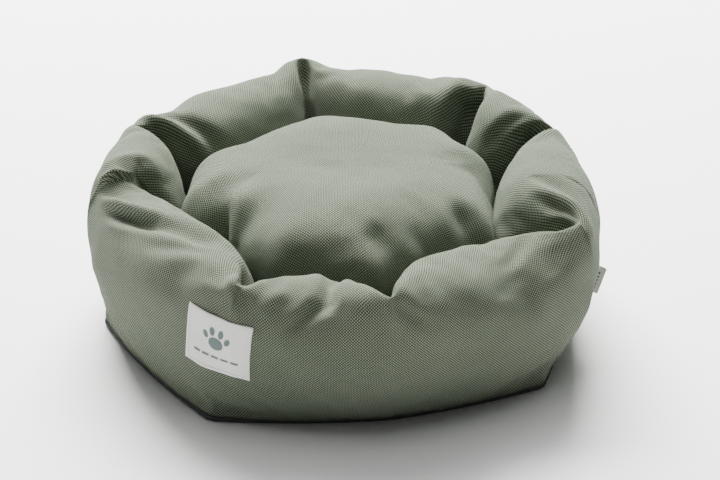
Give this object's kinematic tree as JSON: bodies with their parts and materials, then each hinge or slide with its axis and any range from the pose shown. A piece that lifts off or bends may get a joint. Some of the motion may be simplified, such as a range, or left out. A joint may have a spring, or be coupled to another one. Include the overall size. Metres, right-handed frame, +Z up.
{
  "type": "pet cushion bed",
  "caption": "Round pet bed with a tall stuffed bolster, pinched at its corner seams, around a loose domed cushion, with a sewn label and a side tag.",
  "frame": {"origin": "centre of the underside, on the surface that the bed stands on", "axes": "+Z up; -Y towards the front, where the label is; +X towards the side with the tag"},
  "size_m": [0.4957, 0.4806, 0.175],
  "materials": {
    "sage_weave": "coarse matte basket weave of pale and dark sage yarns",
    "wadding": "soft matte polyester fibre",
    "nonslip_cloth": "dark grey plain cloth with small raised grip dots",
    "lining_cloth": "thin matte plain-weave lining",
    "label_cloth": "off-white matte woven label",
    "thread": "off-white sewing thread",
    "ribbon": "off-white satin-edged ribbon"
  },
  "bodies": {
    "bolster": {"outer_cover": "sage_weave", "inner_panel_1": "sage_weave", "inner_panel_2": "sage_weave", "inner_panel_3": "sage_weave", "inner_panel_4": "sage_weave", "inner_panel_5": "sage_weave", "inner_panel_6": "sage_weave", "inner_panel_7": "sage_weave", "inner_panel_8": "sage_weave", "bolster_fill_1": "wadding", "bolster_fill_2": "wadding", "bolster_fill_3": "wadding", "bolster_fill_4": "wadding", "bolster_fill_5": "wadding", "bolster_fill_6": "wadding", "bolster_fill_7": "wadding", "bolster_fill_8": "wadding", "nonslip_underside": "nonslip_cloth", "base_pad": "wadding", "base_lining": "lining_cloth", "label_patch": "label_cloth", "label_stitching": "thread"},
    "cushion": {"cushion_top_cover": "sage_weave", "cushion_bottom_cover": "sage_weave", "cushion_fill": "wadding"},
    "tag": {"side_tag": "ribbon"}
  },
  "joints": [
    {"name": "cushion_lift", "type": "slide", "parent": "bolster", "child": "cushion", "axis": [0, 0, 1], "range_m": [0, 0.2]},
    {"name": "tag_swing", "type": "hinge", "parent": "bolster", "child": "tag", "pos_m": [0.23559, -0.05008, 0.068], "axis": [0.2784, -0.0592, 0.9586], "range_deg": [-70, 70], "stiffness_Nm_per_rad": 0.0005}
  ]
}
